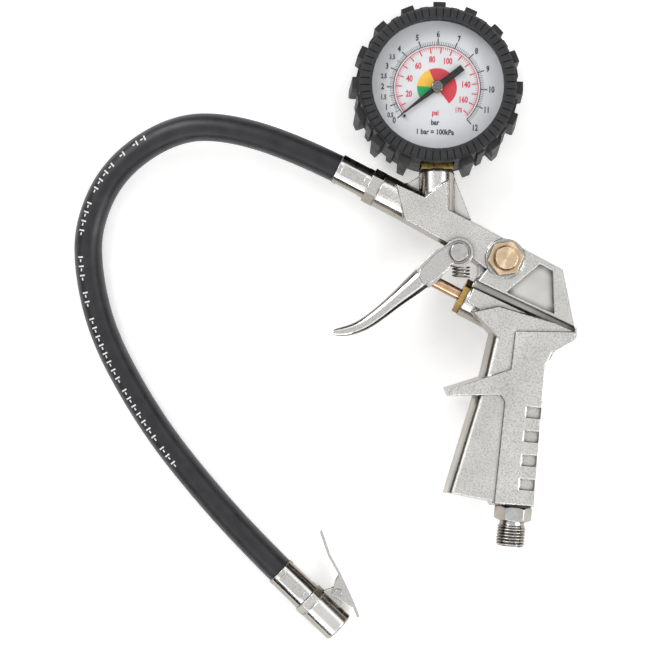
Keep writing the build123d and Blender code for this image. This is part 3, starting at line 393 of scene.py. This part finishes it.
# --------------------------------------------------------------------------------- hose
GUN_ANGLE = math.radians(-27.5)
HOSE_AWAY = Vector((-math.cos(GUN_ANGLE), -math.sin(GUN_ANGLE), 0))
NECK_FACE = Vector((-32.8, 37.1, LEVEL / MM)) * MM
HOSE_START = NECK_FACE + 0.0067 * HOSE_AWAY
FIRST_RUN = 0.035
CHUCK_ANGLE = math.radians(-44)
CHUCK_ALONG = Vector((math.cos(CHUCK_ANGLE), math.sin(CHUCK_ANGLE), 0))
CHUCK_START = Vector((-77.6, -135.5, 7.6)) * MM
CHUCK_HOSE_END = 0.0155
LAST_RUN = 0.037
HOSE_R = 0.0063
CURVE_STEPS = 24
CURVE_ROUNDNESS = 8
route = [
    HOSE_START,
    HOSE_START + FIRST_RUN * HOSE_AWAY,
    Vector((-107, 67.2, 17.5)) * MM,
    Vector((-131, 63, 13.0)) * MM,
    Vector((-154, 46, 9.5)) * MM,
    Vector((-165, 22, 7.6)) * MM,
    Vector((-165, 0, 6.8)) * MM,
    Vector((-158.5, -27.5, 6.6)) * MM,
    Vector((-143, -57, 6.6)) * MM,
    Vector((-125, -83.5, 6.8)) * MM,
    CHUCK_START + (CHUCK_HOSE_END - LAST_RUN) * CHUCK_ALONG,
    CHUCK_START + CHUCK_HOSE_END * CHUCK_ALONG,
]


def nurbs(name, points, radius):
    """A smooth tube of the given radius, or a bare line when it is 0, led by the points."""
    curve = bpy.data.curves.new(name, "CURVE")
    curve.dimensions = "3D"
    spline = curve.splines.new("NURBS")
    spline.points.add(len(points) - 1)
    for point, place in zip(spline.points, points):
        point.co = (*place, 1)
    spline.order_u = 3
    spline.use_endpoint_u = True
    curve.resolution_u = CURVE_STEPS
    curve.bevel_depth = radius
    curve.bevel_resolution = CURVE_ROUNDNESS
    curve.use_fill_caps = True
    piece = bpy.data.objects.new(name, curve)
    bpy.context.collection.objects.link(piece)
    return piece


def converted(curve_object):
    """The mesh of a curve or text, whose object is removed."""
    bpy.context.view_layer.update()
    mesh = bpy.data.meshes.new_from_object(curve_object.evaluated_get(bpy.context.evaluated_depsgraph_get()))
    bpy.data.objects.remove(curve_object)
    return mesh


def path_points(points):
    """Points along the smooth line that the route's control points give."""
    mesh = converted(nurbs("path_probe", points, 0))
    return [vertex.co.copy() for vertex in mesh.vertices]


hose = nurbs("hose_tube", route, HOSE_R)
hose.data.materials.append(finishes["hose_rubber"])
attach(hose, "gun")
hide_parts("hose")
hose_path = path_points(route)


# ----------------------------------------------------------------------- mesh building
def add_piece(name, mesh, material):
    """An object of the mesh that stays with the gun."""
    mesh.materials.append(material)
    piece = bpy.data.objects.new(name, mesh)
    bpy.context.collection.objects.link(piece)
    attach(piece, "gun")
    return piece


def finish_mesh(name, made, at):
    """The built mesh, moved from its own plane to its place."""
    bmesh.ops.recalc_face_normals(made, faces=made.faces)
    made.transform(at)
    mesh = bpy.data.meshes.new(name)
    made.to_mesh(mesh)
    made.free()
    return mesh


def place_frame(origin, x_axis, normal):
    """Matrix that takes millimetres on a plane to the model's metres."""
    x_axis, normal = Vector(x_axis).normalized(), Vector(normal).normalized()
    y_axis = normal.cross(x_axis)
    turn = Matrix((x_axis, y_axis, normal)).transposed().to_4x4()
    return Matrix.Translation(Vector(origin)) @ turn @ Matrix.Scale(MM, 4)


def slabs(name, outlines, low, high, at):
    """Flat plates with the given outlines, all in one mesh."""
    made = bmesh.new()
    for outline in outlines:
        below = [made.verts.new((x, y, low)) for x, y in outline]
        above = [made.verts.new((x, y, high)) for x, y in outline]
        made.faces.new(above)
        made.faces.new(below[::-1])
        for i in range(len(outline)):
            j = (i + 1) % len(outline)
            made.faces.new((below[i], below[j], above[j], above[i]))
    return finish_mesh(name, made, at)


def polar(radius, angle):
    """X and Y of a point at a radius and an angle in degrees."""
    return (radius * math.cos(math.radians(angle)), radius * math.sin(math.radians(angle)))


def tick(angle, inner, outer, width):
    """A radial bar."""
    across = polar(width / 2, angle + 90)
    (x0, y0), (x1, y1) = polar(inner, angle), polar(outer, angle)
    return [(x0 - across[0], y0 - across[1]), (x1 - across[0], y1 - across[1]),
            (x1 + across[0], y1 + across[1]), (x0 + across[0], y0 + across[1])]


def arc_band(inner, outer, start, end, step=3.0):
    """Outlines of an arc band, cut into short quads."""
    count = max(2, int(abs(end - start) / step))
    angles = [start + (end - start) * i / count for i in range(count + 1)]
    return [[polar(inner, a), polar(outer, a), polar(outer, b), polar(inner, b)]
            for a, b in zip(angles, angles[1:])]


# --------------------------------------------------------------------------- dial print
# Lengths are in millimetres and angles in degrees, anticlockwise from the dial's own X.
LEAN = math.radians(6)
BOSS_X, BOSS_TOP, GAUGE_REACH = -7, 44.4, 37.4
GAUGE_NORMAL = Vector((0, math.sin(LEAN), math.cos(LEAN)))
GAUGE_CENTRE = MM * Vector((BOSS_X, BOSS_TOP + GAUGE_REACH * math.cos(LEAN),
                            LEVEL / MM - GAUGE_REACH * math.sin(LEAN)))
DIAL_TURN = math.radians(-1.7)
DIAL_X = Matrix.Rotation(DIAL_TURN, 3, GAUGE_NORMAL) @ Vector((1, 0, 0))
DIAL_AT = place_frame(GAUGE_CENTRE, DIAL_X, GAUGE_NORMAL)
PRINT_LOW, PRINT_HIGH = 8.0, 8.04
LETTER_LIFT = 0.002
LETTER_HALF, LETTER_BOLD = 0.02, 0.035 # half thickness and added weight, for a font size of 1
LETTER_CURVE_STEPS = 3
CAPITAL_SHARE = 0.7                    # height of a capital over the font's size
BAR_TOP, PSI_TOP = 12, 172
BAR_LINE, PSI_LINE = (19.25, 19.6), (18.28, 18.6)
BAR_TICKS_FROM, PSI_TICKS_TO = 19.5, 18.5
BAR_NUMERALS_R, PSI_NUMERALS_R = 24.3, 12.9
FIELDS = (("green", 217, 176), ("yellow", 176, 115), ("red", 115, -52))
FIELD_INNER, FIELD_OUTER = 1.2, 8.9
BAR_NUMERALS = (0, 0.5, 1, 1.5, 2, 2.5, 3, 3.5, 4, 5, 6, 7, 8, 9, 10, 11, 12)
PSI_NUMERALS = (20, 40, 60, 80, 100, 140, 160)
UNIT_X, UNIT_HEIGHT, UNIT_WIDTH = -0.5, 2.3, 0.84
BAR_PER_PSI = 0.0689476
DEGREES_PER_BAR = 22.65
ZERO_ANGLE, HALF_ANGLE, ONE_ANGLE = 219.5, 212.6, 203.25
inks = {
    "ink_black": paint("ink_black", (0.015, 0.015, 0.018), 0.5),
    "ink_red": paint("ink_red", (0.62, 0.03, 0.07), 0.5),
    "field_red": paint("field_red", (0.62, 0.045, 0.065), 0.5),
    "field_green": paint("field_green", (0.0, 0.36, 0.09), 0.5),
    "field_yellow": paint("field_yellow", (0.87, 0.52, 0.06), 0.5),
    "ink_white": paint("ink_white", (0.75, 0.75, 0.75), 0.5),
}


def bar_angle(bar):
    """Even steps from 1 bar upward, with 6 bar on top, and a shorter first step."""
    if bar >= 1:
        return 90 - DEGREES_PER_BAR * (bar - 6)
    return HALF_ANGLE if bar == 0.5 else ZERO_ANGLE + (ONE_ANGLE - ZERO_ANGLE) * bar


def psi_angle(psi):
    return bar_angle(psi * BAR_PER_PSI)


def lettering(name, words, colour):
    """Printed words, each given as text, x, y, height and width factor."""
    made = bmesh.new()
    for text, x, y, height, squeeze in words:
        curve = bpy.data.curves.new(name, "FONT")
        curve.body = text
        curve.size = 1.0
        curve.align_x = "CENTER"
        curve.align_y = "CENTER"
        curve.extrude = LETTER_HALF
        curve.offset = LETTER_BOLD
        curve.resolution_u = LETTER_CURVE_STEPS
        probe = bpy.data.objects.new(name, curve)
        bpy.context.collection.objects.link(probe)
        mesh = converted(probe)
        size = height / CAPITAL_SHARE
        mesh.transform(Matrix.Translation((x, y, (PRINT_LOW + PRINT_HIGH) / 2 + LETTER_LIFT))
                       @ Matrix.Diagonal((size * squeeze, size, 1, 1)))
        made.from_mesh(mesh)
        bpy.data.meshes.remove(mesh)
    made.transform(DIAL_AT)
    joined = bpy.data.meshes.new(name)
    made.to_mesh(joined)
    made.free()
    add_piece(name, joined, inks[colour])


def bar_scale():
    """The outer scale: a line and a tick for each tenth of a bar."""
    marks = arc_band(*BAR_LINE, bar_angle(0), bar_angle(BAR_TOP))
    for tenth in range(0, 10 * BAR_TOP + 1):
        angle = bar_angle(tenth / 10)
        if tenth % 10 == 0:
            marks.append(tick(angle, BAR_TICKS_FROM, 22.5, 0.52))
        elif tenth % 5 == 0 and tenth < 40:
            marks.append(tick(angle, BAR_TICKS_FROM, 21.7, 0.34))
        elif tenth > 5:
            marks.append(tick(angle, BAR_TICKS_FROM, 21.1, 0.21))
    return marks


def psi_scale():
    """The inner scale: a line and a tick for every 2 psi."""
    marks = arc_band(*PSI_LINE, psi_angle(0), psi_angle(PSI_TOP))
    for psi in range(0, PSI_TOP + 1, 2):
        if psi % 10 == 0:
            marks.append(tick(psi_angle(psi), 15.7, PSI_TICKS_TO, 0.58))
        else:
            marks.append(tick(psi_angle(psi), 17.2, PSI_TICKS_TO, 0.22))
    return marks


def dial_layer(name, outlines, ink):
    """Printed areas of one colour."""
    add_piece(name, slabs(name, outlines, PRINT_LOW, PRINT_HIGH, DIAL_AT), inks[ink])


def bar_words():
    """The outer scale's numbers, the unit and its conversion."""
    words = []
    for bar in BAR_NUMERALS:
        x, y = polar(BAR_NUMERALS_R if bar < BAR_TOP else BAR_NUMERALS_R + 0.5, bar_angle(bar))
        height = 2.6 if bar == int(bar) else 2.1
        words.append((f"{bar:g}", x, y, height, 0.74))
    words.append(("bar", UNIT_X, -15.9, UNIT_HEIGHT, UNIT_WIDTH))
    words.append(("1 bar = 100kPa", UNIT_X, -20.2, UNIT_HEIGHT, UNIT_WIDTH))
    return words


def psi_words():
    """The inner scale's numbers, the last of them smaller and lower, and the unit."""
    words = []
    for psi in PSI_NUMERALS:
        x, y = polar(PSI_NUMERALS_R, psi_angle(psi))
        words.append((str(psi), x, y, 2.7, 0.72))
    x, y = polar(PSI_NUMERALS_R + 1.1, psi_angle(170) - 6)
    words.append(("170", x, y, 2.1, 0.72))
    words.append(("psi", UNIT_X, -11.5, UNIT_HEIGHT, UNIT_WIDTH))
    return words


def make_dial():
    """Scales, coloured fields, numbers and units."""
    dial_layer("dial_marks", bar_scale(), "ink_black")
    dial_layer("dial_marks_red", psi_scale(), "ink_red")
    for name, first, last in FIELDS:
        dial_layer("dial_field_" + name, arc_band(FIELD_INNER, FIELD_OUTER, first, last), "field_" + name)
    lettering("dial_numerals", bar_words(), "ink_black")
    lettering("dial_numerals_red", psi_words(), "ink_red")


make_dial()


# ------------------------------------------------------------------------- inlet nipple
# Radii, heights and across-flats are in millimetres, with heights along the inlet's axis.
INLET_PLACE = MM * Vector((27.7, -103.6, LEVEL / MM))
INLET_LEAN = math.radians(5.7)
INLET_BORE = 3.2
INLET_NECK_R = 5.6
INLET_SHANK_R, INLET_SHANK_TOP = 6.4, -9.0
INLET_HEX_AF, HEX_START, HEX_END = 14.6, 1.0, 7.7
HEX_CHAMFER, HEX_CHAMFER_SLOPE, HEX_STEPS = 0.8, 1.7, 24
THREAD_R, THREAD_PITCH = 6.5785, 1.337
THREAD_START, THREAD_END = 9.5, 19.1
THREAD_DEPTH = 0.64                # of the pitch
THREAD_STEPS = 10                  # rings of points in one pitch
NECK_END = 9.6


def closed_rings(made, rings):
    """Faces between rings of (radius, height) points, and from the last ring back to the first."""
    grid = []
    for ring in rings:
        turns = [2 * math.pi * i / len(ring) for i in range(len(ring))]
        grid.append([made.verts.new((radius * math.cos(turn), radius * math.sin(turn), height))
                     for turn, (radius, height) in zip(turns, ring)])
    for lower, upper in zip(grid, grid[1:] + grid[:1]):
        for i in range(len(lower)):
            j = (i + 1) % len(lower)
            made.faces.new((lower[i], lower[j], upper[j], upper[i]))


def sleeve(made, inner, outer, low, high, segments=72):
    """A plain ring with a bore."""
    profile = [(inner, low), (outer, low), (outer, high), (inner, high)]
    closed_rings(made, [[point] * segments for point in profile])


def hex_radius(across_flats, angle):
    return across_flats / 2 / math.cos((angle + math.pi / 6) % (math.pi / 3) - math.pi / 6)


def hexagon_collar(made, segments=144):
    """The nipple's hexagon with turned chamfers."""
    corner = INLET_HEX_AF / 2 / math.cos(math.pi / 6)
    rings = []
    for step in range(HEX_STEPS + 1):
        height = HEX_START + (HEX_END - HEX_START) * step / HEX_STEPS
        near = min(height - HEX_START, HEX_END - height)
        limit = corner - max(0.0, HEX_CHAMFER - near) * HEX_CHAMFER_SLOPE
        rings.append([(min(hex_radius(INLET_HEX_AF, 2 * math.pi * i / segments), limit), height)
                      for i in range(segments)])
    rings.append([(INLET_BORE, HEX_END)] * segments)
    rings.append([(INLET_BORE, HEX_START)] * segments)
    closed_rings(made, rings)


def threaded(made, segments=60):
    """The nipple's screw thread, with flat crests and run-outs at both ends."""
    depth = THREAD_DEPTH * THREAD_PITCH
    steps = int((THREAD_END - THREAD_START) / THREAD_PITCH * THREAD_STEPS)
    rings = []
    for step in range(steps + 1):
        height = THREAD_START + (THREAD_END - THREAD_START) * step / steps
        run_in = (height - THREAD_START) / (0.8 * THREAD_PITCH)
        run_out = (THREAD_END - height) / (0.9 * THREAD_PITCH) + 0.15
        fade = max(0.0, min(1.0, run_in, run_out))
        ring = []
        for i in range(segments):
            phase = (height / THREAD_PITCH - i / segments) % 1.0
            crest = min(1.0, max(0.0, 1.35 - 2.7 * abs(phase - 0.5)))
            ring.append((THREAD_R - depth * (1 - crest * fade), height))
        rings.append(ring)
    rings.append([(INLET_BORE, THREAD_END)] * segments)
    rings.append([(INLET_BORE, THREAD_START)] * segments)
    closed_rings(made, rings)


def make_inlet():
    """The air inlet with its real thread, in place of the plain one."""
    down = Vector((-math.sin(INLET_LEAN), -math.cos(INLET_LEAN), 0))
    made = bmesh.new()
    hexagon_collar(made)
    sleeve(made, INLET_BORE, INLET_NECK_R, HEX_END, NECK_END)
    threaded(made)
    sleeve(made, INLET_BORE, INLET_SHANK_R, INLET_SHANK_TOP, HEX_START)
    mesh = finish_mesh("inlet_thread", made, place_frame(INLET_PLACE, (0, 0, 1), down))
    piece = add_piece("inlet_thread", mesh, finishes["zinc_steel"])
    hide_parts("inlet_nipple")


make_inlet()


# --------------------------------------------------------------------------- hose print
# Each group has its start along the hose and its number of strokes. A stroke is two bars, each given as two
# angles round the hose and two distances along it.
STROKE_GROUPS = [(0.104, 2), (0.1155, 1), (0.1225, 4), (0.142, 4), (0.166, 3), (0.182, 2), (0.194, 8),
                 (0.229, 7), (0.260, 3)]
STROKE_PITCH = 0.0041
STROKE_BARS = [(-36, -12, 0, 0.0007), (-27, -21, 0.0013, 0.0026)]
STROKE_TURN = -4
STROKE_STEPS = 3
STROKE_SUNK, STROKE_PROUD = 0.00002, 0.00005


def place_along(distance):
    """The point on the hose's centre line at a distance from its start, and the direction there."""
    gone = 0.0
    for a, b in zip(hose_path, hose_path[1:]):
        run = (b - a).length
        if gone + run >= distance:
            break
        gone += run
    return a.lerp(b, (distance - gone) / run), (b - a).normalized()


def arc_row(made, centre, side, up, radius, low, high):
    """Points round the hose between two angles."""
    row = []
    for i in range(STROKE_STEPS + 1):
        angle = math.radians(low + (high - low) * i / STROKE_STEPS + STROKE_TURN)
        row.append(made.verts.new(centre + radius * (side * -math.sin(angle) + up * math.cos(angle))))
    return row


def curved_bar(made, centre, along, bar):
    """A thin bar wrapped on the hose."""
    low, high, start, end = bar
    side = along.cross(Vector((0, 0, 1))).normalized()
    up = side.cross(along).normalized()
    inner_a, inner_b, outer_a, outer_b = (
        arc_row(made, centre + along * reach, side, up, radius, low, high)
        for radius in (HOSE_R - STROKE_SUNK, HOSE_R + STROKE_PROUD) for reach in (start, end))
    for i in range(STROKE_STEPS):
        j = i + 1
        made.faces.new((outer_a[i], outer_a[j], outer_b[j], outer_b[i]))
        made.faces.new((inner_a[j], inner_a[i], inner_b[i], inner_b[j]))
        made.faces.new((inner_a[i], inner_a[j], outer_a[j], outer_a[i]))
        made.faces.new((inner_b[j], inner_b[i], outer_b[i], outer_b[j]))
    made.faces.new((inner_a[0], outer_a[0], outer_b[0], inner_b[0]))
    made.faces.new((inner_a[-1], inner_b[-1], outer_b[-1], outer_a[-1]))


def make_hose_marks():
    """A printed row of plain strokes in groups along the hose."""
    made = bmesh.new()
    for group_start, count in STROKE_GROUPS:
        for k in range(count):
            centre, along = place_along(group_start + k * STROKE_PITCH)
            for bar in STROKE_BARS:
                curved_bar(made, centre, along, bar)
    mesh = finish_mesh("hose_marks", made, Matrix.Identity(4))
    add_piece("hose_marks", mesh, inks["ink_white"])


make_hose_marks()
